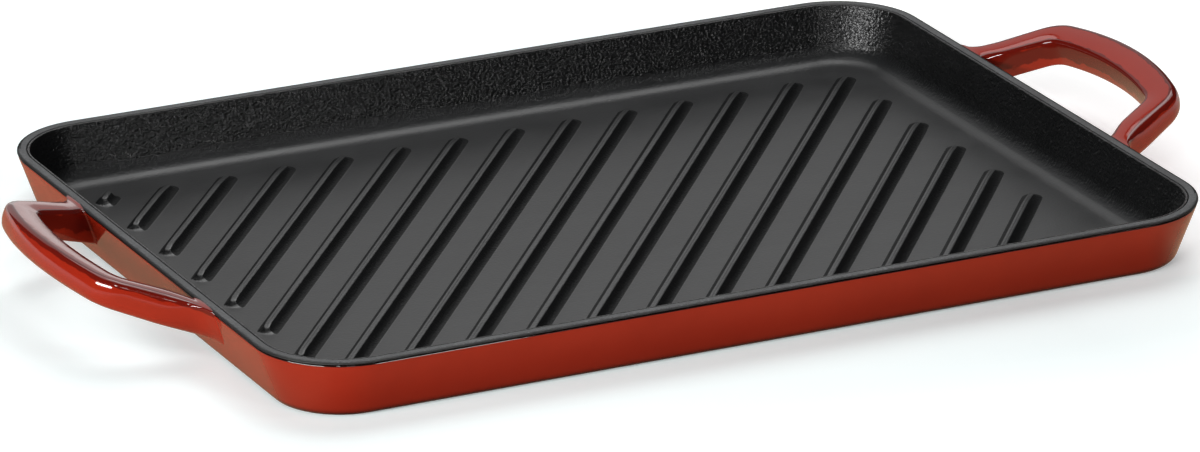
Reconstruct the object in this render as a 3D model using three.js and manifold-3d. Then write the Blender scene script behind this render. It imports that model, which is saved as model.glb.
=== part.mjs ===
// Cast-iron grill plate, enamelled red outside and matt black inside.
// Millimetres, +Z up. Origin: middle of the flat base, at the height of the
// surface that the plate stands on. +X runs along the length, through both
// handles. The ribs cross the floor diagonally.

import * as THREE from 'three';
import { mergeVertices } from 'three/addons/utils/BufferGeometryUtils.js';
import Module from 'manifold-3d';

const wasm = await Module();
wasm.setup();

// ---------------------------------------------------------------- dimensions

// Tray
const RIM_LENGTH = 350;          // over the outer edge of the rim
const RIM_WIDTH = 258;
const RIM_CORNER_R = 31;         // plan radius of the rim's outer edge
const HEIGHT = 21.6;             // base to rim
const FLOOR_THICKNESS = 1.8;
const WALL_DRAFT = 0.358;        // inset per mm of depth, both faces
const WALL_THICKNESS = 4.6;      // across the rim land
const RIM_BAND_HEIGHT = 0.7;     // bare matt land on top of the wall
const OUTER_SHARE = 2.3;         // outer half of the wall thickness
const BASE_EDGE_R = 3.5;         // round between the wall and the base
const BASE_INSET = 10.2;         // where the flat base begins
const FOOT_INSET = 13;           // inner end of the wall's foot
const COVE_R = 9;                // round between the inner wall and the floor
const CORNER_FACETS = 6;         // facets in each plan corner

// Ribs
const RIB_COUNT = 18;
const RIB_ANGLE = 51;            // degrees from +X
const RIB_PITCH = 17.38;         // square to the ribs
const RIB_FIRST = -156.13;       // first rib's distance from the middle
const RIB_HEIGHT = 2.4;
const RIB_CREST = 2.0;           // width on top
const RIB_BASE = 7.8;            // width at the floor
const RIB_FIELD_X = 145.8;       // rib crests end inside this rectangle
const RIB_FIELD_Y = 99.5;
const STUB_ALONG = -14.9;        // short rib in the back left corner
const STUB_LENGTH = 5.1;

// Handles: a flat loop, rising outwards from just below the rim
const HANDLE_RISE = 19.6;        // degrees
const HANDLE_ROOT_Z = 15.8;      // middle of the bar, where it crosses the rim line
const HANDLE_THICKNESS = 10.2;
const HANDLE_EDGE_R = 2.2;
const HANDLE_REACH = 39.7;       // along the slope, to the outside of the bar
const HANDLE_INNER_REACH = 28.1; // along the slope, to the inside of the bar
const HANDLE_CORNER = [33.7, 43.0];        // outside corner, before rounding
const HANDLE_INNER_CORNER = [24.2, 34.1];  // inside corner, before rounding
const HANDLE_ROOT = [-5.2, 59.8];          // outside of a leg, inside the wall line
const HANDLE_INNER_ROOT = [-5.2, 48.2];    // inside of a leg
const HANDLE_CORNER_ROUND = 9.5;
const HANDLE_INNER_ROUND = 4.0;
const HANDLE_OFFSET_Y = 2.1;     // right loop to the back, left loop to the front
const GAP = 0.32;                // clearance of a handle to the wall

// ------------------------------------------------------------------ materials

const RED = { color: 0x8f2416, roughness: 0.16, metalness: 0.0 };
const BLACK = { color: 0x2a2b2c, roughness: 0.55, metalness: 0.0 };
const LAND = { color: 0x55575a, roughness: 0.7, metalness: 0.1 };

const plate = new THREE.Group();

function piece(name, geometry, look, parent = plate) {
  const mesh = new THREE.Mesh(geometry, new THREE.MeshStandardMaterial(look));
  mesh.name = name;
  parent.add(mesh);
  return mesh;
}

// ------------------------------------------------------------------- helpers

// Keeps positions only and shares the vertices of neighbouring faces.
function weld(geometry) {
  geometry.deleteAttribute('normal');
  geometry.deleteAttribute('uv');
  return mergeVertices(geometry, 1e-4);
}

function volume(geometry) {
  const p = geometry.attributes.position, i = geometry.index;
  const a = new THREE.Vector3(), b = new THREE.Vector3(), c = new THREE.Vector3();
  let v = 0;
  for (let k = 0; k < i.count; k += 3) {
    a.fromBufferAttribute(p, i.getX(k));
    b.fromBufferAttribute(p, i.getX(k + 1));
    c.fromBufferAttribute(p, i.getX(k + 2));
    v += a.dot(b.cross(c)) / 6;
  }
  return v;
}

// Turns the faces outwards.
function faceOut(geometry) {
  if (volume(geometry) < 0) {
    const i = geometry.index;
    for (let k = 0; k < i.count; k += 3) {
      const t = i.getX(k);
      i.setX(k, i.getX(k + 1));
      i.setX(k + 1, t);
    }
  }
  return geometry;
}

function toSolid(geometry) {
  const g = faceOut(weld(geometry));
  return new wasm.Manifold(new wasm.Mesh({
    numProp: 3,
    vertProperties: new Float32Array(g.attributes.position.array),
    triVerts: new Uint32Array(g.index.array),
  }));
}

function toGeometry(solid) {
  const m = solid.getMesh();
  const g = new THREE.BufferGeometry();
  g.setAttribute('position', new THREE.BufferAttribute(new Float32Array(m.vertProperties), 3));
  g.setIndex(new THREE.BufferAttribute(new Uint32Array(m.triVerts), 1));
  return g;
}

// The middles of the plan corners; every ring of the tray turns about these.
const CORE_X = RIM_LENGTH / 2 - RIM_CORNER_R;
const CORE_Y = RIM_WIDTH / 2 - RIM_CORNER_R;
const HALF_FACET = Math.PI / (4 * CORNER_FACETS);

// A closed section [inset from the rim line, height] carried round the tray:
// turned about an axis, then pulled apart into four corners and four sides.
function trayRing(section) {
  const points = [...section, section[0]].map(
    ([inset, z]) => new THREE.Vector2((RIM_CORNER_R - inset) / Math.cos(HALF_FACET), z));
  const g = new THREE.LatheGeometry(points, 4 * CORNER_FACETS, HALF_FACET, 2 * Math.PI);
  g.rotateX(Math.PI / 2);
  const p = g.attributes.position;
  for (let k = 0; k < p.count; k++) {
    p.setX(k, p.getX(k) + Math.sign(p.getX(k)) * CORE_X);
    p.setY(k, p.getY(k) + Math.sign(p.getY(k)) * CORE_Y);
  }
  return faceOut(weld(g));
}

// The tray's plan outline at an inset from the rim line.
function trayOutline(inset) {
  const r = (RIM_CORNER_R - inset) / Math.cos(HALF_FACET);
  const points = [];
  for (let k = 0; k < 4 * CORNER_FACETS; k++) {
    const t = (2 * k + 1) * HALF_FACET;
    const x = r * Math.cos(t), y = r * Math.sin(t);
    points.push(new THREE.Vector2(x + Math.sign(x) * CORE_X, y + Math.sign(y) * CORE_Y));
  }
  return new THREE.Shape(points);
}

const draftInset = (z) => (HEIGHT - z) * WALL_DRAFT;

// Points on a round of radius r about [inset, z], from angle a to angle b in
// degrees below the level, towards the outside.
function round(inset, z, r, a, b, steps) {
  const points = [];
  for (let k = 0; k <= steps; k++) {
    const t = THREE.MathUtils.degToRad(a + (b - a) * k / steps);
    points.push([inset - r * Math.cos(t), z - r * Math.sin(t)]);
  }
  return points;
}

// --------------------------------------------------------------------- tray

const draftDegrees = THREE.MathUtils.radToDeg(Math.atan(WALL_DRAFT));
const landZ = HEIGHT - RIM_BAND_HEIGHT;
const partInset = (z) => OUTER_SHARE + draftInset(z);      // between the wall's two halves
const innerInset = (z) => WALL_THICKNESS + draftInset(z);

// Floor: a flat slab, standing on its underside.
piece('cooking_floor', faceOut(weld(new THREE.ExtrudeGeometry(
  trayOutline(FOOT_INSET), { depth: FLOOR_THICKNESS, bevelEnabled: false }))), BLACK);

// Outer wall, with a rounded lower edge and a foot that runs in under the cove.
piece('outer_wall', trayRing([
  [draftInset(landZ), landZ],
  [partInset(landZ), landZ],
  [partInset(FLOOR_THICKNESS), FLOOR_THICKNESS],
  [FOOT_INSET, FLOOR_THICKNESS],
  [FOOT_INSET, 0],
  ...round(BASE_INSET, BASE_EDGE_R, BASE_EDGE_R, 90, draftDegrees, 3),
]), RED);

// Inner wall and cove. The cove is tangent to the wall and to the floor.
const coveZ = FLOOR_THICKNESS + COVE_R;
const coveTouchZ = coveZ - COVE_R * Math.sin(Math.atan(WALL_DRAFT));
const coveInset = innerInset(coveTouchZ) + COVE_R * Math.cos(Math.atan(WALL_DRAFT));
piece('inner_lining', trayRing([
  [partInset(landZ), landZ],
  [innerInset(landZ), landZ],
  ...round(coveInset, coveZ, COVE_R, draftDegrees, 90, 4),
  [partInset(FLOOR_THICKNESS), FLOOR_THICKNESS],
]), BLACK);

// Rim land, its edges just broken.
piece('rim_band', trayRing([
  [draftInset(landZ), landZ],
  [0.06, HEIGHT - 0.2],
  [0.35, HEIGHT],
  [WALL_THICKNESS - 0.3, HEIGHT],
  [WALL_THICKNESS + 0.08, HEIGHT - 0.2],
  [innerInset(landZ), landZ],
]), LAND);

// --------------------------------------------------------------------- ribs

// A rib with round ends: its sides lean in towards a narrower crest.
function ribGeometry(crestLength) {
  const half = crestLength / 2, r = RIB_BASE / 2;
  const outline = new THREE.Shape();
  outline.absarc(half, 0, r, -Math.PI / 2, Math.PI / 2, false);
  outline.absarc(-half, 0, r, Math.PI / 2, 3 * Math.PI / 2, false);
  const g = new THREE.ExtrudeGeometry(outline,
    { depth: RIB_HEIGHT, steps: 4, bevelEnabled: false, curveSegments: 6 });
  const p = g.attributes.position;
  const lean = (RIB_BASE - RIB_CREST) / 2;
  for (let k = 0; k < p.count; k++) {
    const x = p.getX(k), y = p.getY(k), h = p.getZ(k) / RIB_HEIGHT;
    const cx = THREE.MathUtils.clamp(x, -half, half);
    const d = Math.hypot(x - cx, y);
    const shrink = (d - lean * (0.55 * h + 0.45 * h * h * h * h)) / d;
    p.setX(k, cx + (x - cx) * shrink);
    p.setY(k, y * shrink);
  }
  g.translate(0, 0, FLOOR_THICKNESS);
  return faceOut(weld(g));
}

const ribTurn = THREE.MathUtils.degToRad(RIB_ANGLE);
const along = new THREE.Vector2(Math.cos(ribTurn), Math.sin(ribTurn));
const across = new THREE.Vector2(Math.sin(ribTurn), -Math.cos(ribTurn));

function addRib(name, offset, middle, length) {
  const rib = piece(name, ribGeometry(length), BLACK);
  rib.position.set(
    across.x * offset + along.x * middle,
    across.y * offset + along.y * middle, 0);
  rib.rotation.z = ribTurn;
}

for (let k = 0; k < RIB_COUNT; k++) {
  const offset = RIB_FIRST + k * RIB_PITCH;
  // Where this line enters and leaves the rib field.
  const tx = [-1, 1].map((s) => (s * RIB_FIELD_X - across.x * offset) / along.x);
  const ty = [-1, 1].map((s) => (s * RIB_FIELD_Y - across.y * offset) / along.y);
  const from = Math.max(tx[0], ty[0]), to = Math.min(tx[1], ty[1]);
  addRib('grill_rib_' + String(k + 1).padStart(2, '0'), offset, (from + to) / 2, to - from);
}
addRib('grill_rib_stub', RIB_FIRST - RIB_PITCH, STUB_ALONG, STUB_LENGTH);

// ------------------------------------------------------------------- handles

// Moves from a towards b by a length.
function step(a, b, length) {
  const d = Math.hypot(b[0] - a[0], b[1] - a[1]);
  return [a[0] + (b[0] - a[0]) * length / d, a[1] + (b[1] - a[1]) * length / d];
}

// The loop, drawn flat: x along the slope, y along the side of the tray.
function loopOutline() {
  const s = new THREE.Shape();
  const mirror = ([x, y]) => [x, -y];
  // The control point that carries a bar's bow through its middle point.
  const bow = (corner, reach) => [2 * reach - corner[0], 0];
  const outA = HANDLE_CORNER, outB = mirror(outA);
  const outBow = bow(outA, HANDLE_REACH);
  const a0 = step(outA, HANDLE_ROOT, HANDLE_CORNER_ROUND);
  const a1 = step(outA, outBow, HANDLE_CORNER_ROUND);
  const inA = HANDLE_INNER_CORNER, inB = mirror(inA);
  const inBow = bow(inA, HANDLE_INNER_REACH);
  const i0 = step(inA, HANDLE_INNER_ROOT, HANDLE_INNER_ROUND);
  const i1 = step(inA, inBow, HANDLE_INNER_ROUND);

  s.moveTo(...mirror(HANDLE_ROOT));
  s.lineTo(...mirror(a0));
  s.quadraticCurveTo(...outB, ...mirror(a1));
  s.quadraticCurveTo(...outBow, ...a1);
  s.quadraticCurveTo(...outA, ...a0);
  s.lineTo(...HANDLE_ROOT);
  s.lineTo(...HANDLE_INNER_ROOT);
  s.lineTo(...i0);
  s.quadraticCurveTo(...inA, ...i1);
  s.quadraticCurveTo(...inBow, ...mirror(i1));
  s.quadraticCurveTo(...inB, ...mirror(i0));
  s.lineTo(...mirror(HANDLE_INNER_ROOT));
  return s;
}

// What the wall takes up, with the clearance of a handle to it.
function wallSpace() {
  const g = new THREE.ExtrudeGeometry(trayOutline(0), { depth: 60, steps: 1, bevelEnabled: false });
  const p = g.attributes.position;
  for (let k = 0; k < p.count; k++) {
    const high = p.getZ(k) > 30;
    const z = high ? HEIGHT : -HEIGHT;
    const inset = draftInset(z) - GAP;
    p.setX(k, p.getX(k) - Math.sign(p.getX(k)) * inset);
    p.setY(k, p.getY(k) - Math.sign(p.getY(k)) * inset);
    p.setZ(k, z);
  }
  const wall = toSolid(g);
  const above = new THREE.BoxGeometry(RIM_LENGTH + 2 * GAP, RIM_WIDTH, 30);
  above.translate(0, 0, HEIGHT + 14);
  return wall.add(toSolid(above));
}

const taken = wallSpace();
for (const [name, side] of [['handle_right', 1], ['handle_left', -1]]) {
  const g = new THREE.ExtrudeGeometry(loopOutline(), {
    depth: HANDLE_THICKNESS - 2 * HANDLE_EDGE_R,
    bevelEnabled: true, bevelThickness: HANDLE_EDGE_R, bevelSize: HANDLE_EDGE_R,
    bevelOffset: -HANDLE_EDGE_R, bevelSegments: 2, curveSegments: 6,
  });
  g.translate(0, 0, HANDLE_EDGE_R - HANDLE_THICKNESS / 2);
  g.rotateY(-THREE.MathUtils.degToRad(HANDLE_RISE));
  g.translate(RIM_LENGTH / 2, HANDLE_OFFSET_Y, HANDLE_ROOT_Z);
  if (side < 0) g.rotateZ(Math.PI);
  piece(name, toGeometry(toSolid(g).subtract(taken)), RED);
}

export default plate;
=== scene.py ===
import math

import bmesh
import bpy
import numpy as np
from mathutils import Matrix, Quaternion, Vector


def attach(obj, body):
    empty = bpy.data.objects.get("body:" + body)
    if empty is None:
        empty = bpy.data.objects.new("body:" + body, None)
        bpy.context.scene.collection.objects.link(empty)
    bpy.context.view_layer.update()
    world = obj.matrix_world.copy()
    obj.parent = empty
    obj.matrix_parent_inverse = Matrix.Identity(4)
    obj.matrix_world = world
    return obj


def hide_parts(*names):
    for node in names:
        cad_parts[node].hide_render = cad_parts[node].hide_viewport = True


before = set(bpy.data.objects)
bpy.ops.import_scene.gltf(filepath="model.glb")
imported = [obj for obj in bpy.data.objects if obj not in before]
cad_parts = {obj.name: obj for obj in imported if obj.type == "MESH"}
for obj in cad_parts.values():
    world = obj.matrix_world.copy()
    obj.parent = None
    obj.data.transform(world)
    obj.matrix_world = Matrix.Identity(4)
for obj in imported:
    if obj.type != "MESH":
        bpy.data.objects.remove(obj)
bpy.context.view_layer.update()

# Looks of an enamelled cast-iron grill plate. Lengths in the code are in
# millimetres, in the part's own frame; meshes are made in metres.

MM = 0.001

# ---------------------------------------------------------------- dimensions

HALF_X, HALF_Y, CORNER_R = 175.0, 129.0, 31.0      # rim line in plan
HEIGHT = 21.6
DRAFT = 0.358                                      # inset per mm of depth
DRAFT_ANGLE = math.atan(DRAFT)
LAND_Z = 20.9                                      # underside of the rim land
FLOOR_Z = 1.8
WALL = 4.6
SHARE = 2.3
BASE_R, BASE_INSET, FOOT_INSET = 3.5, 10.2, 13.0
COVE_R = 9.0

RIBS, RIB_ANGLE, RIB_PITCH, RIB_FIRST = 18, 51.0, 17.38, -156.13
FIELD_X, FIELD_Y = 145.8, 99.5
STUB_ALONG, STUB_LENGTH = -14.9, 5.1

RISE = math.radians(19.6)
ROOT_Z = 15.8
LOOP_SHIFT = 2.1


def draft_inset(z):
    return (HEIGHT - z) * DRAFT


def ease(t):
    t = min(1.0, max(0.0, t))
    return t * t * (3 - 2 * t)


# -------------------------------------------------------------- mesh helpers

def piece(name, verts, faces, material, nodes, sharp=None, more=(), marks=None, edge=None):
    """A mesh object from vertices in mm, riding on the plate and standing for some CAD nodes."""
    me = bpy.data.meshes.new(name)
    me.from_pydata([(x * MM, y * MM, z * MM) for x, y, z in verts], [], faces)
    if marks is not None:
        me.polygons.foreach_set("material_index", marks)
    if edge is not None:
        me.attributes.new("edge", "FLOAT", "POINT").data.foreach_set("value", edge)
    bm = bmesh.new()
    bm.from_mesh(me)
    bmesh.ops.remove_doubles(bm, verts=bm.verts, dist=1e-7)
    bmesh.ops.recalc_face_normals(bm, faces=bm.faces)
    bm.to_mesh(me)
    bm.free()
    me.shade_smooth()
    if sharp is not None:
        me.set_sharp_from_angle(angle=math.radians(sharp))
    me.materials.append(material)
    for extra in more:
        me.materials.append(extra)
    ob = bpy.data.objects.new(name, me)
    bpy.context.scene.collection.objects.link(ob)
    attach(ob, "root")
    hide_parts(*nodes)
    return ob


ARC = 16            # steps in each plan corner
SIDE_X, SIDE_Y = 20, 14


def plan_ring(inset, z):
    """The tray's outline at an inset from the rim line, always with the same number of points."""
    cx, cy, r = HALF_X - CORNER_R, HALF_Y - CORNER_R, CORNER_R - inset
    pts = []
    for qx, qy, start in ((1, 1, 0), (-1, 1, 90), (-1, -1, 180), (1, -1, 270)):
        for k in range(ARC + 1):
            t = math.radians(start + 90 * k / ARC)
            pts.append((qx * cx + r * math.cos(t), qy * cy + r * math.sin(t), z))
        # the straight side that follows this corner
        x, y = pts[-1][0], pts[-1][1]
        if start in (0, 180):
            n, dx, dy = SIDE_X, -2 * qx * cx, 0
        else:
            n, dx, dy = SIDE_Y, 0, -2 * qy * cy
        for k in range(1, n):
            pts.append((x + dx * k / n, y + dy * k / n, z))
    return pts


def loft(profile, closed):
    """Rings at (inset, z) joined in order. A closed profile is a ring-shaped solid; an open one gets a flat cap at each end."""
    verts, faces = [], []
    for inset, z in profile:
        verts.extend(plan_ring(inset, z))
    n = len(plan_ring(0, 0))
    m = len(profile)
    for i in range(m if closed else m - 1):
        a, b = i * n, ((i + 1) % m) * n
        for k in range(n):
            j = (k + 1) % n
            faces.append((a + k, a + j, b + j, b + k))
    if not closed:
        faces.append(tuple(range(n)))
        faces.append(tuple((m - 1) * n + k for k in range(n)))
    return verts, faces


def arc(inset, z, r, a, b, steps):
    """Points on a round about (inset, z), from angle a to b in degrees below the level, towards the outside."""
    out = []
    for k in range(steps + 1):
        t = math.radians(a + (b - a) * k / steps)
        out.append((inset - r * math.cos(t), z - r * math.sin(t)))
    return out


# ----------------------------------------------------------------- materials

class Nodes:
    """A short way to write a material's node tree."""

    def __init__(self, name):
        self.m = bpy.data.materials.new(name)
        self.m.use_nodes = True
        self.t = self.m.node_tree
        self.t.nodes.clear()
        self.out = self.t.nodes.new("ShaderNodeOutputMaterial")
        self.bsdf = self.t.nodes.new("ShaderNodeBsdfPrincipled")
        self.t.links.new(self.bsdf.outputs[0], self.out.inputs[0])
        self.co = self.t.nodes.new("ShaderNodeTexCoord").outputs["Object"]

    def link(self, a, b):
        self.t.links.new(a, b)

    def noise(self, scale, detail=2.0, rough=0.5, distortion=0.0, co=None):
        n = self.t.nodes.new("ShaderNodeTexNoise")
        n.inputs["Scale"].default_value = scale
        n.inputs["Detail"].default_value = detail
        n.inputs["Roughness"].default_value = rough
        n.inputs["Distortion"].default_value = distortion
        self.link(co or self.co, n.inputs["Vector"])
        return n.outputs["Fac"]

    def cells(self, scale, co=None):
        n = self.t.nodes.new("ShaderNodeTexVoronoi")
        n.inputs["Scale"].default_value = scale
        self.link(co or self.co, n.inputs["Vector"])
        return n.outputs["Distance"]

    def stretch(self, sx, sy, sz):
        n = self.t.nodes.new("ShaderNodeMapping")
        n.inputs["Scale"].default_value = (sx, sy, sz)
        self.link(self.co, n.inputs["Vector"])
        return n.outputs["Vector"]

    def height(self):
        n = self.t.nodes.new("ShaderNodeSeparateXYZ")
        self.link(self.co, n.inputs[0])
        return n.outputs["Z"]

    def attribute(self, name):
        n = self.t.nodes.new("ShaderNodeAttribute")
        n.attribute_name = name
        return n.outputs["Fac"]

    def across(self):
        n = self.t.nodes.new("ShaderNodeSeparateXYZ")
        self.link(self.co, n.inputs[0])
        return n.outputs["X"]

    def along(self):
        n = self.t.nodes.new("ShaderNodeSeparateXYZ")
        self.link(self.co, n.inputs[0])
        return n.outputs["Y"]

    def beyond(self, half_x, half_y):
        """How far a point lies outside a rectangle in plan."""
        n = self.t.nodes.new("ShaderNodeSeparateXYZ")
        self.link(self.co, n.inputs[0])
        x = self.math("SUBTRACT", self.math("ABSOLUTE", n.outputs["X"], 0.0), half_x)
        y = self.math("SUBTRACT", self.math("ABSOLUTE", n.outputs["Y"], 0.0), half_y)
        return self.math("MAXIMUM", x, y)

    def ramp(self, fac, stops):
        n = self.t.nodes.new("ShaderNodeValToRGB")
        e = n.color_ramp.elements
        while len(e) < len(stops):
            e.new(0.5)
        for el, (p, c) in zip(e, stops):
            el.position = p
            el.color = (*c, 1.0) if len(c) == 3 else c
        self.link(fac, n.inputs["Fac"])
        return n.outputs["Color"]

    def span(self, value, a, b, c, d, smooth=False):
        n = self.t.nodes.new("ShaderNodeMapRange")
        if smooth:
            n.interpolation_type = "SMOOTHSTEP"
        for k, x in zip(("From Min", "From Max", "To Min", "To Max"), (a, b, c, d)):
            n.inputs[k].default_value = x
        self.link(value, n.inputs["Value"])
        return n.outputs["Result"]

    def math(self, op, a, b):
        n = self.t.nodes.new("ShaderNodeMath")
        n.operation = op
        for k, x in enumerate((a, b)):
            if isinstance(x, (int, float)):
                n.inputs[k].default_value = x
            else:
                self.link(x, n.inputs[k])
        return n.outputs[0]

    def mix(self, fac, a, b, mode="MIX"):
        n = self.t.nodes.new("ShaderNodeMix")
        n.data_type = "RGBA"
        n.blend_type = mode
        for key, x in ((0, fac), (6, a), (7, b)):
            if isinstance(x, (int, float)):
                n.inputs[key].default_value = x
            elif isinstance(x, tuple):
                n.inputs[key].default_value = (*x, 1.0)
            else:
                self.link(x, n.inputs[key])
        return n.outputs[2]

    def bump(self, height, distance, strength=1.0, normal=None):
        n = self.t.nodes.new("ShaderNodeBump")
        n.inputs["Distance"].default_value = distance
        if isinstance(strength, (int, float)):
            n.inputs["Strength"].default_value = strength
        else:
            self.link(strength, n.inputs["Strength"])
        self.link(height, n.inputs["Height"])
        if normal is not None:
            self.link(normal, n.inputs["Normal"])
        return n.outputs["Normal"]

    def set(self, **sockets):
        for k, v in sockets.items():
            s = self.bsdf.inputs[k.replace("_", " ")]
            if isinstance(v, (int, float)):
                s.default_value = v
            elif isinstance(v, tuple):
                s.default_value = (*v, 1.0)
            else:
                self.link(v, s)


def red_enamel(name, right_shade):
    """Glossy vitreous enamel: orange-red, cloudy, with orange peel, darker where the coat thins over the handles' top
    edges. Painted shade darkens it towards the base, to near black at the foot, in the crease under the rim land, well
    down the handles' inner sides and, on the shell, towards the right.
    """
    n = Nodes(name)
    cloud = n.noise(16.0, 3.0, 0.55)
    fine = n.noise(95.0, 3.0, 0.6)
    tone = n.math("ADD", n.math("MULTIPLY", cloud, 0.75), n.math("MULTIPLY", fine, 0.25))
    colour = n.ramp(tone, [(0.25, (0.222, 0.0118, 0.0040)),
                           (0.5, (0.252, 0.0140, 0.0047)),
                           (0.75, (0.280, 0.0166, 0.0055))])
    # painted shade: the colour darkens towards the right, where less light falls
    if right_shade:
        colour = n.mix(n.span(n.across(), -0.10, 0.16, 0.0, right_shade, True), colour, (0.12, 0.0130, 0.0050))
    # painted shade: the colour darkens by up to 40 % towards the base
    low = n.span(n.height(), 0.0, 0.017, 0.0, 1.0)
    colour = n.mix(low, n.mix(0.40, colour, (0.08, 0.006, 0.003)), colour)
    # painted shade: near black over the bottom 3 mm, where the wall meets the floor
    foot_shade = n.span(n.height(), 0.0004, 0.0034, 0.85, 0.0, True)
    colour = n.mix(foot_shade, colour, (0.016, 0.0016, 0.0010))
    # the coat thins over the top edges of the handles, with a wavy border; the same mask carries painted shade well
    # down their inner sides
    wander = n.span(n.noise(190.0, 2.0, 0.5), 0.3, 0.7, -0.22, 0.22)
    thin_coat_and_shade = n.span(n.math("ADD", n.attribute("edge"), wander), 0.40, 0.58, 0.0, 0.92, True)
    colour = n.mix(thin_coat_and_shade, colour, (0.095, 0.0042, 0.0020))
    # and painted shade, near black, in the crease under the rim land
    crease_shade = n.span(n.attribute("edge"), 1.3, 1.7, 0.0, 1.0, True)
    colour = n.mix(crease_shade, colour, (0.006, 0.0028, 0.0024))
    wave = n.noise(85.0, 1.0, 0.4)
    peel = n.noise(260.0, 1.0, 0.4)
    still = n.span(n.height(), 0.0186, 0.0196, 0.5, 0.15)
    normal = n.bump(wave, 0.00034, still)
    normal = n.bump(peel, 0.00004, 0.5, normal)
    n.set(Base_Color=colour, Roughness=n.span(fine, 0.3, 0.7, 0.05, 0.10),
          Specular_IOR_Level=0.5, Normal=normal)
    return n.m


def black_enamel(name, kind):
    """Satin black cooking enamel: smoother on the floor and sandy on the walls; painted shade darkens the walls from
    the floor up, and the rib flanks take a darker, duller copy that stands for their shade.
    """
    n = Nodes(name)
    patch = n.noise(30.0, 4.0, 0.6)
    grain = n.noise(1000.0, 2.0, 0.6)
    sand = n.cells(1150.0)
    swirl = n.noise(6.0, 3.0, 0.6, 0.6, n.stretch(1.0, 5.0, 1.0))
    tone = n.math("ADD", n.math("MULTIPLY", patch, 0.6), n.math("MULTIPLY", grain, 0.4))
    colour = n.ramp(tone, [(0.3, (0.0080, 0.0084, 0.0089)), (0.7, (0.0160, 0.0167, 0.0174))])
    dark = n.ramp(tone, [(0.3, (0.0022, 0.0023, 0.0024)), (0.7, (0.0044, 0.0046, 0.0048))])
    smooth = n.span(n.math("ADD", patch, swirl), 0.7, 1.3, 0.31, 0.39)
    normal = n.bump(patch, 0.0006, 0.22)
    sandy = n.math("ADD", grain, n.math("MULTIPLY", sand, 0.5))
    if kind == "flank":
        # painted shade: the flanks are a darker, duller copy of the enamel
        dark = n.ramp(tone, [(0.3, (0.0042, 0.0044, 0.0046)), (0.7, (0.0080, 0.0083, 0.0087))])
        n.set(Base_Color=dark, Roughness=n.span(n.math("ADD", patch, swirl), 0.7, 1.3, 0.42, 0.50),
              Specular_IOR_Level=0.08, Normal=n.bump(sandy, 0.00032, 0.5, normal))
    elif kind == "crest":
        n.set(Base_Color=colour, Roughness=smooth,
              Specular_IOR_Level=0.64, Normal=n.bump(sandy, 0.00032, 0.40, normal))
    else:
        # painted shade: the walls are darkened from the floor up
        wall = n.span(n.height(), 0.0022, 0.0090, 0.0, 1.0, True)
        rise = n.span(n.height(), 0.0040, 0.0105, 0.0, 0.115, True)
        smooth = n.math("SUBTRACT", smooth, rise)
        if kind != "tray":
            sandy = n.math("ADD", n.noise(760.0, 2.0, 0.6), n.math("MULTIPLY", n.cells(900.0), 0.5))
        n.set(Base_Color=n.mix(wall, colour, dark), Roughness=smooth,
              Specular_IOR_Level={"tray": 0.5, "cove": 0.36, "sill": 0.34, "wall": 0.33}[kind],
              Normal=n.bump(sandy, 0.00040, n.span(wall, 0.0, 1.0, 0.11, 0.90), normal))
    return n.m


def rim_land(name, shine):
    """Bare ground rim: dull grey iron with fine pits, dark along both edges."""
    n = Nodes(name)
    grain = n.noise(1150.0, 3.0, 0.65)
    patch = n.noise(45.0, 3.0, 0.6)
    tone = n.math("ADD", n.math("MULTIPLY", grain, 0.6), n.math("MULTIPLY", patch, 0.4))
    colour = n.ramp(tone, [(0.34, (0.020, 0.021, 0.022)), (0.5, (0.050, 0.052, 0.054)),
                           (0.66, (0.110, 0.113, 0.118))])
    edge = n.math("ADD", n.height(), n.span(grain, 0.3, 0.7, -0.00007, 0.00007))
    top = n.span(edge, 0.02148, 0.02156, 0.0, 1.0, True)
    colour = n.mix(top, (0.004, 0.004, 0.004), colour)
    colour = n.mix(n.span(n.math("ADD", n.attribute("edge"), n.span(grain, 0.3, 0.7, -0.3, 0.3)), 0.3, 0.7, 0.0, 1.0, True),
                   colour, (0.004, 0.004, 0.004))
    normal = n.bump(grain, 0.00030, 0.8)
    n.set(Base_Color=colour, Roughness=n.span(tone, 0.3, 0.7, 0.46, 0.62),
          Specular_IOR_Level=shine, Normal=normal)
    return n.m


# the shell copy carries painted shade towards the right
RED, SHELL_RED = red_enamel("red_enamel_gloss", 0.0), red_enamel("red_enamel_shell", 0.26)
LAND, LAND_LINE = rim_land("rim_land_matt", 0.5), rim_land("rim_land_line", 0.06)
BLACK = black_enamel("black_enamel_satin", "tray")
COVE_BLACK, SILL_BLACK, WALL_BLACK = [black_enamel("black_enamel_" + kind, kind) for kind in ("cove", "sill", "wall")]
CREST_BLACK, FLANK_SHADE_BLACK = black_enamel("black_enamel_crest", "crest"), black_enamel("black_enamel_flank_shaded", "flank")

# ---------------------------------------------------------------------- tray

# Outer wall: rounded bead under the rim land, straight draft, rounded base
# edge, and a foot that runs in under the cove.
TOP = 0.85
bead_z = LAND_Z - 0.20
shell = [(SHARE + draft_inset(LAND_Z), bead_z), (draft_inset(bead_z) + 1.5, bead_z)]
centre = (draft_inset(bead_z - TOP) + TOP / math.cos(DRAFT_ANGLE), bead_z - TOP)
for k in range(7):
    t = math.radians(90 - (90 + math.degrees(DRAFT_ANGLE)) * k / 6)
    shell.append((centre[0] - TOP * math.cos(t), centre[1] + TOP * math.sin(t)))
for z in (18.0, 15.0, 12.0, 9.0, 6.0, 4.0):
    shell.append((draft_inset(z), z))
shell += arc(BASE_INSET, BASE_R, BASE_R, math.degrees(DRAFT_ANGLE), 90, 12)
shell += [(BASE_INSET + 1.0, 0.0), (FOOT_INSET - 0.4, 0.0), (FOOT_INSET - 0.1, 0.3),
          (FOOT_INSET - 0.1, FLOOR_Z - 0.3), (SHARE + draft_inset(FLOOR_Z), FLOOR_Z - 0.3)]
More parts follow.
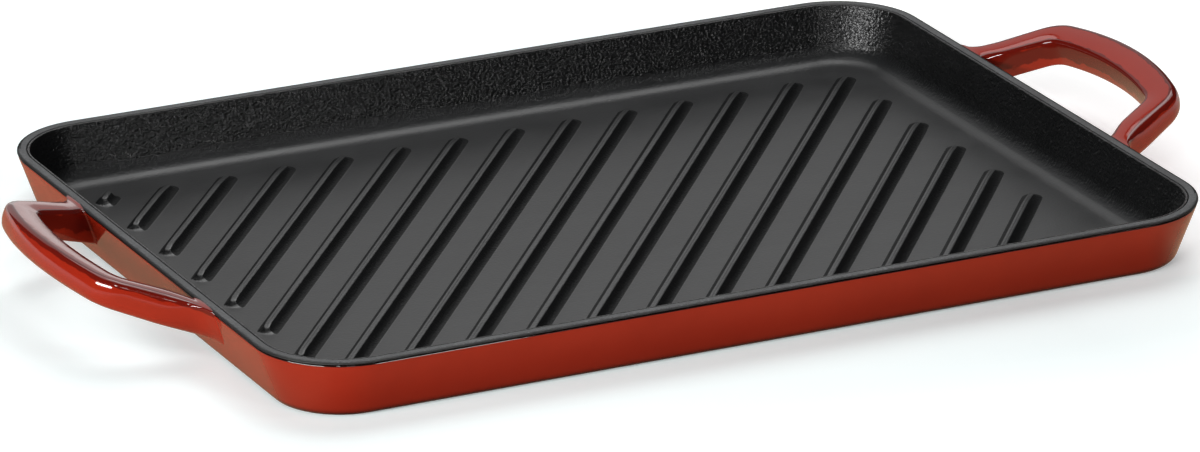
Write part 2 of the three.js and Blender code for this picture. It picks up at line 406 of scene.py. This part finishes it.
v, f = loft(shell, True)
count = len(v) // len(shell)
# painted shade in the crease under the rim land, carried on the edge attribute
crease_shade = [2.0] * 6 + [1.6] + [0.0] * (len(shell) - 7)          # down to the middle of the bead
piece("shell_outer_red", v, f, SHELL_RED, ["outer_wall"], 40,
      edge=[b for b in crease_shade for _ in range(count)])

# Inside: base, lip, inner wall, cove and floor as one casting.
cove_z = FLOOR_Z + COVE_R
touch_z = cove_z - COVE_R * math.sin(DRAFT_ANGLE)
cove_inset = WALL + draft_inset(touch_z) + COVE_R * math.cos(DRAFT_ANGLE)
LIP_OUT, LIP_R = 3.75, 0.55
lip_z = HEIGHT - 0.12
inner = [(FOOT_INSET + 20, 0.0), (FOOT_INSET + 0.4, 0.0), (FOOT_INSET + 0.1, 0.3),
         (FOOT_INSET + 0.1, FLOOR_Z), (SHARE + draft_inset(FLOOR_Z) + 0.2, FLOOR_Z),
         (SHARE + draft_inset(LAND_Z) + 0.1, LAND_Z - 0.3), (LIP_OUT + 0.05, LAND_Z - 0.3),
         (LIP_OUT + 0.05, lip_z - 0.2), (LIP_OUT + 0.2, lip_z)]
lc = (WALL + draft_inset(lip_z - LIP_R) - LIP_R / math.cos(DRAFT_ANGLE) + 0.05, lip_z - LIP_R)
for k in range(7):
    t = math.radians(90 - (90 - math.degrees(DRAFT_ANGLE)) * k / 6)
    inner.append((lc[0] + LIP_R * math.cos(t), lc[1] + LIP_R * math.sin(t)))
for z in (19.5, 17.5, 15.5, 13.5, 11.5):
    if z > touch_z + 0.5:
        inner.append((WALL + draft_inset(z), z))
inner += arc(cove_inset, cove_z, COVE_R, math.degrees(DRAFT_ANGLE), 90, 22)
inner += [(cove_inset + 2.0, FLOOR_Z), (cove_inset + 8.0, FLOOR_Z)]
v, f = loft(inner, False)
count = len(v) // len(inner)
level = [(a[1] + b[1]) / 2 for a, b in zip(inner, inner[1:])]
dull = [0 if z < 3.2 else 1 if z < 4.8 else 2 if z < 7.2 else 3 for z in level]
piece("cooking_surface_black", v, f, BLACK, ["cooking_floor", "inner_lining"], 40,
      [COVE_BLACK, SILL_BLACK, WALL_BLACK], [d for d in dull for _ in range(count)] + [0, 0])

# Rim land, its edges softly broken, with a narrow groove to the lip inside it.
LAND_OUT, LAND_IN, EDGE = 0.30, 3.62, 0.34


def land_profile(shoulder, drop, line):
    """Section of the rim land: outer face, shoulder, a dark line on the top beside it, flat top, inner edge."""
    pts = [(LAND_OUT + 0.05, LAND_Z - 0.02), (LAND_OUT, HEIGHT - drop)]
    for k in range(1, 9):
        t = math.radians(90 * k / 8)
        pts.append((LAND_OUT + shoulder * (1 - math.cos(t)), HEIGHT - drop + drop * math.sin(t)))
    pts += [(line, HEIGHT), (line + 0.3, HEIGHT), (2.8, HEIGHT)]
    for k in range(6):
        t = math.radians(90 - 90 * k / 5)
        pts.append((LAND_IN - EDGE * (1 - math.cos(t)), HEIGHT - EDGE + EDGE * math.sin(t)))
    return pts + [(LAND_IN, LAND_Z - 0.02)]


broad, narrow = land_profile(1.6, 0.66, 2.0), land_profile(0.35, 0.35, 1.05)
v, f = loft(broad, True)
v2, _ = loft(narrow, True)
around = [(p[0] - q[0], p[1] - q[1]) for p, q in zip(plan_ring(0, 0), plan_ring(1, 0))]
blend = [ease((0.44 * x + 0.9 * y + 0.25) / 0.55) for x, y in around]      # 1 on the back and the right
count = len(blend)
v = [tuple(p + (q - p) * blend[i % count] for p, q in zip(a, b)) for i, (a, b) in enumerate(zip(v, v2))]
# the land is dark over its outer shoulder and a strip of the top on the back and right
dark_line = [blend[i % count] if i < 11 * count else 0.0 for i in range(len(v))]
line = [1 if i < 10 * count and blend[i % count] > 0.5 else 0 for i in range(len(f))]
piece("rim_land_ground", v, f, LAND, ["rim_band"], 50, [LAND_LINE], line, edge=dark_line)

# ---------------------------------------------------------------------- ribs

RIB_H, CREST, CREST_R, FOOT_R, LEAN = 2.4, 0.45, 1.0, (1.5, 4.0), math.radians(50)
FALL, FALL_R = (4.5, 15.0), (16.0, 96.0)            # the crest bends down towards its front and back end


def rib_profile(foot_r):
    """Half of a rib's section, as (distance from the middle line, height), from the crest to the foot."""
    s, c = math.sin(LEAN), 1 - math.cos(LEAN)
    run = (RIB_H - (CREST_R + foot_r) * c) / math.tan(LEAN)
    foot = CREST + CREST_R * s + run + foot_r * s
    pts = [(0.12, RIB_H), (CREST, RIB_H)]
    for k in range(1, 7):
        t = LEAN * k / 6
        pts.append((CREST + CREST_R * math.sin(t), RIB_H - CREST_R * (1 - math.cos(t))))
    for k in range(8):
        t = LEAN * (1 - k / 7)
        pts.append((foot - foot_r * math.sin(t), foot_r * (1 - math.cos(t)) - 0.012 * k / 7))
    pts += [(foot + 0.02, -0.35)]
    return pts


def rib(name, node, offset, middle, length):
    a = math.radians(RIB_ANGLE)
    along, across = (math.cos(a), math.sin(a)), (math.sin(a), -math.cos(a))
    half, turn = length / 2, 14
    plain = max(0.0, half - max(FALL))           # half of the stretch where the crest is level
    cuts = [half - (half - plain) * k / 5 for k in range(1, 6)]
    steps = max(1, int(plain / 6))
    cuts += [plain - 2 * plain * k / steps for k in range(1, steps)] if plain else []
    cuts += [-c for c in reversed(cuts[:5])]
    loop = []                                    # (along offset, direction) round a stadium
    for k in range(turn + 1):
        t = math.radians(-90 + 180 * k / turn)
        loop.append((half, math.cos(t), math.sin(t)))
    loop += [(c, 0.0, 1.0) for c in cuts]
    for k in range(turn + 1):
        t = math.radians(90 + 180 * k / turn)
        loop.append((-half, math.cos(t), math.sin(t)))
    loop += [(-c, 0.0, -1.0) for c in cuts]
    tight, prof, n = rib_profile(FOOT_R[0]), rib_profile(FOOT_R[1]), len(loop)
    verts, faces, marks = [], [], []
    for (r0, h0), (r1, h1) in zip(tight, prof):
        for s, dx, dy in loop:
            w = ease((1 + dy) / 2)
            r, h = r0 + (r1 - r0) * w, h0 + (h1 - h0) * w
            end = 1 if s + r * dx > 0 else 0
            fall = max(0.0, abs(s + r * dx) - max(0.0, half - FALL[end]))
            level = max(0.03, 1 - fall * fall / (2 * FALL_R[end] * RIB_H))
            slim = 0.85 + 0.15 * math.sqrt(level)
            p, q = middle + s + r * dx * 0.9, offset + r * dy * slim
            verts.append((along[0] * p + across[0] * q, along[1] * p + across[1] * q,
                          FLOOR_Z + (h * level if h > 0 else h)))
    for i in range(len(prof) - 1):
        for k in range(n):
            j = (k + 1) % n
            faces.append((i * n + k, i * n + j, (i + 1) * n + j, (i + 1) * n + k))
            h = (prof[i][1] + prof[i + 1][1]) / 2 if loop[k][2] + loop[j][2] > 0 else (tight[i][1] + tight[i + 1][1]) / 2
            steep = 0.05 < h < 2.22
            # flank faces take the darker, duller copy that stands for their shade
            marks.append(1 if steep and loop[k][1] + loop[j][1] > -0.9 else 0)
    faces.append(tuple(range(n)))
    faces.append(tuple((len(prof) - 1) * n + k for k in range(n)))
    marks += [0, 0]
    piece(name, verts, faces, CREST_BLACK, [node], 50, [FLANK_SHADE_BLACK], marks)


_a = math.radians(RIB_ANGLE)
for i in range(RIBS):
    off = RIB_FIRST + i * RIB_PITCH
    tx = [(s * FIELD_X - math.sin(_a) * off) / math.cos(_a) for s in (-1, 1)]
    ty = [(s * FIELD_Y + math.cos(_a) * off) / math.sin(_a) for s in (-1, 1)]
    lo, hi = max(tx[0], ty[0]), min(tx[1], ty[1])
    rib(f"rib_cast_{i + 1:02d}", f"grill_rib_{i + 1:02d}", off, (lo + hi) / 2, hi - lo)
rib("rib_cast_stub", "grill_rib_stub", RIB_FIRST - RIB_PITCH, STUB_ALONG, STUB_LENGTH)

# ------------------------------------------------------------------- handles

OUT_CORNER, IN_CORNER = (33.7, 43.0), (24.2, 34.1)
OUT_ROOT, IN_ROOT = (-6.6, 59.0), (-6.6, 48.4)
REACH, IN_REACH = 39.7, 28.1
OUT_ROUND, IN_ROUND = 7.8, 4.2
WALL_U, WALL_SHEAR = -2.526, 0.8185     # where the wall's face lies in the loop's own plane


def lerp(a, b, t):
    return (a[0] + (b[0] - a[0]) * t, a[1] + (b[1] - a[1]) * t)


def toward(a, b, length):
    d = math.hypot(b[0] - a[0], b[1] - a[1])
    return lerp(a, b, length / d)


def bezier(a, c, b, t):
    return lerp(lerp(a, c, t), lerp(c, b, t), t)


LEG, BEND, BAR = 26, 14, 12
BELLY, BELLY_UP, BELLY_DOWN = 0.22, math.radians(10), math.radians(15)    # the sides are slightly bellied


def rail(root, corner, reach, rounding):
    """One edge of the loop from a root to the middle of the bar."""
    bow = (2 * reach - corner[0], 0.0)
    a0, a1 = toward(corner, root, rounding), toward(corner, bow, rounding)
    b1 = (a1[0], -a1[1])
    pts = [lerp(root, a0, (k / LEG) ** 1.35) for k in range(LEG)]
    pts += [bezier(a0, corner, a1, k / BEND) for k in range(BEND)]
    pts += [bezier(a1, bow, b1, 0.5 * k / BAR) for k in range(BAR + 1)]
    return pts


def bar_section(a, up, down, outside, inside, crown):
    """A closed section, across by up, and how much of an edge each point is: flat crowned top, rounder outside and underneath."""
    pts, edge = [], []
    rt, rb = min(outside[0], a * 0.9), min(outside[1], (a - 2 * BELLY) * 0.9)
    it, ib = min(inside[0], a * 0.9), min(inside[1], (a - 2 * BELLY) * 0.9)
    tu, td = math.degrees(BELLY_UP), math.degrees(BELLY_DOWN)

    def turn(px, py, r, t0, t1, n, keen):
        for k in range(n + 1):
            t = math.radians(t0 + (t1 - t0) * k / n)
            pts.append((px + r * math.cos(t), py + r * math.sin(t)))
            edge.append(keen if 0 < k < n else 0.6 * keen)

    def flank(top, low):
        y0, y1 = up - top + top * math.sin(BELLY_UP), -(down - low) - low * math.sin(BELLY_DOWN)
        return [(a + BELLY * (-1 + 4.6 * t - 5.6 * t * t), y0 + (y1 - y0) * t) for t in (0.2, 0.4, 0.6, 0.8)]

    mid, half = (it - rt) / 2, a - BELLY - (it + rt) / 2
    for k in range(-3, 4):
        pts.append((mid + half * k / 4, up + crown * (1 - (k / 4) ** 2)))
        edge.append(0.0)
    turn(a - BELLY - rt * math.cos(BELLY_UP), up - rt, rt, 90, tu, 7, 1.0)
    for p in flank(rt, rb):
        pts.append(p)
        edge.append(0.0)
    right = a - 2 * BELLY - rb * math.cos(BELLY_DOWN)
    left = -(a - 2 * BELLY - ib * math.cos(BELLY_DOWN))
    turn(right, -(down - rb), rb, -td, -90, 8, 0.2)
    for k in range(1, 4):
        pts.append((right + (left - right) * k / 4, -down))
        edge.append(0.0)
    turn(left, -(down - ib), ib, -90, -180 + td, 8, 0.2)
    for p, keen in zip(reversed(flank(it, ib)), (0.20, 0.55, 0.85, 1.0)):    # painted shade: the inner side is darkened well down
        pts.append((-p[0], p[1]))
        edge.append(keen)
    turn(-(a - BELLY - it * math.cos(BELLY_UP)), up - it, it, 180 - tu, 90, 7, 1.0)
    return pts, edge


def fillet(d, r):
    if d >= r:
        return 0.0
    if d <= 0:
        return r
    return r - math.sqrt(r * r - (r - d) ** 2)


def loop_handle(name, node, side):
    outer = rail(OUT_ROOT, OUT_CORNER, REACH, OUT_ROUND)
    inner = rail(IN_ROOT, IN_CORNER, IN_REACH, IN_ROUND)
    half = []
    for (uo, vo), (ui, vi) in zip(outer, inner):
        d = 0.5 * (uo + ui) - WALL_U
        e = fillet(d, 1.6)
        eo = fillet(d, 6.0)
        legness = 1 - ease((0.5 * (uo + ui) - 8) / 22)          # 1 near the root, 0 on the bar
        half.append(dict(o=(uo, vo + eo), i=(ui, vi - e),
                         up=4.75 + 0.35 * legness + fillet(d, 0.4),
                         down=4.9 + 0.8 * legness + fillet(d, 0.5), sag=1.0 - 0.7 * legness,
                         outside=(2.3, 3.7), inside=(1.5, 1.3),
                         shear=WALL_SHEAR * (1 - ease(d / 15.0))))
    stations = half + [dict(s, o=(s["o"][0], -s["o"][1]), i=(s["i"][0], -s["i"][1]))
                       for s in reversed(half[:-1])]
    cr, sr = math.cos(RISE), math.sin(RISE)
    verts, faces, edges, n = [], [], [], None
    for s in stations:
        (uo, vo), (ui, vi) = s["o"], s["i"]
        a = math.hypot(uo - ui, vo - vi) / 2
        mu, mv = (uo + ui) / 2, (vo + vi) / 2
        du, dv = (uo - ui) / (2 * a), (vo - vi) / (2 * a)
        sec, keen = bar_section(a, s["up"], s["down"], s["outside"], s["inside"], 0.22)
        n = len(sec)
        edges.extend(keen)
        for p, w in sec:
            deep = (s["up"] - w) / (s["up"] + s["down"])
            w -= s["sag"] * (0.4 + 1.3 * deep) * (a - p) / (2 * a)         # the inner edge hangs a little lower
            u, q = mu + du * p + s["shear"] * w, mv + dv * p
            x, z = HALF_X + u * cr - w * sr, ROOT_Z + u * sr + w * cr
            verts.append((side * x, side * (q + LOOP_SHIFT), z))
    m = len(stations)
    for i in range(m - 1):
        for k in range(n):
            j = (k + 1) % n
            faces.append((i * n + k, i * n + j, (i + 1) * n + j, (i + 1) * n + k))
    faces.append(tuple(range(n)))
    faces.append(tuple((m - 1) * n + k for k in range(n)))
    return piece(name, verts, faces, RED, [node], 60, edge=edges)


loop_handle("loop_handle_right", "handle_right", 1)
loop_handle("loop_handle_left", "handle_left", -1)

# --------------------------------------------------------------------- stage

def ground(name, z):
    me = bpy.data.meshes.new(name)
    me.from_pydata([(-6, -6, 0), (6, -6, 0), (6, 6, 0), (-6, 6, 0)], [], [(0, 1, 2, 3)])
    ob = bpy.data.objects.new(name, me)
    bpy.context.scene.collection.objects.link(ob)
    ob.location.z = z
    return ob


# The floor is white paper that also glows. Its glow carries painted shadow and light: weaker next to the plate and in
# front of it, stronger further out and on the right, and tinted near the plate against the red bounce. The enamel
# mirrors a greyer one, so that the glare stays low.
floor = ground("studio_floor", -0.0001)
n = Nodes("studio_white")
shade = n.math("MULTIPLY", n.math("MULTIPLY", n.span(n.along(), -0.10, -0.13, 0.0, 1.0), n.span(n.along(), -0.25, -0.17, 0.0, 1.0)),
               n.span(n.across(), -0.10, 0.16, 0.04, 0.20))
n.set(Base_Color=n.ramp(n.noise(3.0), [(0.3, (0.78, 0.84, 0.84)), (0.7, (0.80, 0.86, 0.86))]),
      Roughness=0.5, Specular_IOR_Level=0.2, Emission_Color=n.mix(n.math("MAXIMUM", n.span(n.beyond(0.215, 0.140), 0.0, 0.15, 0.0, 1.0), n.span(n.across(), 0.05, 0.20, 0.0, 1.0)),
                           (0.89, 1.0, 1.0), (1.0, 0.93, 0.93)),
      Emission_Strength=n.math("SUBTRACT", n.math("ADD", n.span(n.beyond(0.215, 0.140), 0.0, 0.25, 0.27, 0.44),
                                                  n.span(n.across(), 0.10, 0.22, 0.0, 0.21)), shade))
floor.data.materials.append(n.m)
floor.visible_glossy = False

# The mirrored floor glows, dimmer and warmer next to the plate: a painted reflection of the shaded floor lit red by the
# plate.
mirrored = ground("studio_floor_mirrored", -0.0002)
n = Nodes("studio_grey")
far = n.span(n.beyond(0.165, 0.120), 0.020, 0.260, 0.0, 1.0, True)
n.set(Base_Color=n.ramp(n.noise(3.0), [(0.3, (0.02, 0.02, 0.02)), (0.7, (0.03, 0.03, 0.03))]),
      Roughness=0.9, Specular_IOR_Level=0.0,
      Emission_Color=n.mix(far, (1.0, 0.72, 0.46), (1.0, 0.99, 0.97)),
      Emission_Strength=n.math("ADD", n.math("MULTIPLY", n.span(far, 0.0, 1.0, 0.26, 0.62),
                                             n.math("MAXIMUM", n.span(n.beyond(0.165, 0.120), 0.006, 0.018, 0.40, 1.0, True),
                                                    n.span(n.math("ABSOLUTE", n.across(), 0.0), 0.156, 0.170, 0.40, 1.0, True))),
                               n.math("ADD", n.span(n.across(), -0.150, -0.172, 0.0, 0.14),
                                      n.span(n.across(), 0.150, 0.172, 0.0, 0.22))))
mirrored.data.materials.append(n.m)
mirrored.visible_camera = mirrored.visible_diffuse = mirrored.visible_shadow = False


def panel(name, azimuth, elevation, distance, width, height, radiance, roll=0.0):
    """A plain soft light, aimed at the plate. Azimuth 0 is behind it, 90 on its right; radiance 1 looks as bright as white paper."""
    az, el = math.radians(azimuth), math.radians(elevation)
    d = bpy.data.lights.new(name, "AREA")
    d.shape, d.size, d.size_y = "RECTANGLE", width, height
    d.energy = radiance * math.pi * width * height
    o = bpy.data.objects.new(name, d)
    bpy.context.scene.collection.objects.link(o)
    o.location = Vector((math.sin(az) * math.cos(el), math.cos(az) * math.cos(el), math.sin(el))) * distance
    o.rotation_mode = "QUATERNION"
    o.rotation_quaternion = (-o.location).to_track_quat("-Z", "Y") @ Quaternion((0, 0, 1), math.radians(roll))
    return o


panel("overhead", 18, 64, 1.9, 1.3, 1.6, 1.95)
panel("overhead_right", 54, 58, 1.9, 1.0, 1.1, 2.2)
panel("backdrop", 13, 19.5, 1.6, 1.49, 1.12, 0.54)
panel("horizon", 27, 4.2, 1.5, 1.0, 0.15, 0.60)
panel("left_low", -113, 19, 2.0, 1.5, 0.22, 41.0)
panel("front_fill", 171, 15, 0.75, 0.12, 0.12, 18.0)
panel("front_key", 193, 36, 2.4, 0.35, 0.12, 18.0)
panel("left_strip", -150, 44, 2.2, 0.12, 0.6, 24.0)
panel("rim_strip_left", 145.7, 46, 2.4, 0.03, 1.0, 18.0, 26)
panel("rim_strip_middle", 142.0, 46, 2.4, 0.03, 1.0, 18.0, 26)

world = bpy.data.worlds.new("studio")
bpy.context.scene.world = world
world.use_nodes = True
world.node_tree.nodes["Background"].inputs["Color"].default_value = (0.97, 0.985, 1.0, 1)
world.node_tree.nodes["Background"].inputs["Strength"].default_value = 0.03

# -------------------------------------------------------------------- camera

AZ, EL, DIST = math.radians(-26.27), math.radians(20.32), 2.714
TARGET = Vector((-0.0251, -0.0487, 0.0216))
back = Vector((math.sin(AZ) * math.cos(EL), -math.cos(AZ) * math.cos(EL), math.sin(EL)))
cam_data = bpy.data.cameras.new("camera")
cam_data.sensor_fit, cam_data.sensor_width, cam_data.lens = "HORIZONTAL", 36.0, 36.0 * 8037 / 1200
cam_data.clip_start, cam_data.clip_end = 0.05, 50.0
camera = bpy.data.objects.new("camera", cam_data)
bpy.context.scene.collection.objects.link(camera)
camera.location = TARGET + back * DIST
camera.rotation_mode = "QUATERNION"
camera.rotation_quaternion = (-back).to_track_quat("-Z", "Y")
bpy.context.scene.camera = camera
bpy.context.scene.view_settings.view_transform = "Standard"
